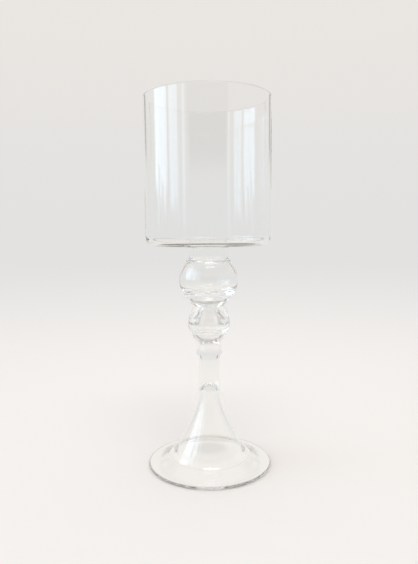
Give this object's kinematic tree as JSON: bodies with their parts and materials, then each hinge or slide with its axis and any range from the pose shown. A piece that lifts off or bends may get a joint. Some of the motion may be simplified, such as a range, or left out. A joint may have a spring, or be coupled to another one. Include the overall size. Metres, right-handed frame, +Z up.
{
  "type": "hurricane candle lantern",
  "caption": "Tall footed candle lantern of clear blown glass: an open cylinder on a knopped stem that flares into a hollow trumpet and a wide open foot.",
  "frame": {"origin": "centre of the foot, on the table", "axes": "+Z up along the axis of the glass; X and Y are level and equal, because the glass is round"},
  "size_m": [0.13, 0.13, 0.381],
  "materials": {
    "clear_glass": "clear colourless hand-blown glass, fire-polished, with faint waviness"
  },
  "bodies": {
    "root": {"foot_disc": "clear_glass", "trumpet_stem": "clear_glass", "stem_collar": "clear_glass", "lower_knop": "clear_glass", "upper_knop": "clear_glass", "upper_merese": "clear_glass", "hurricane_cylinder": "clear_glass"}
  },
  "joints": []
}
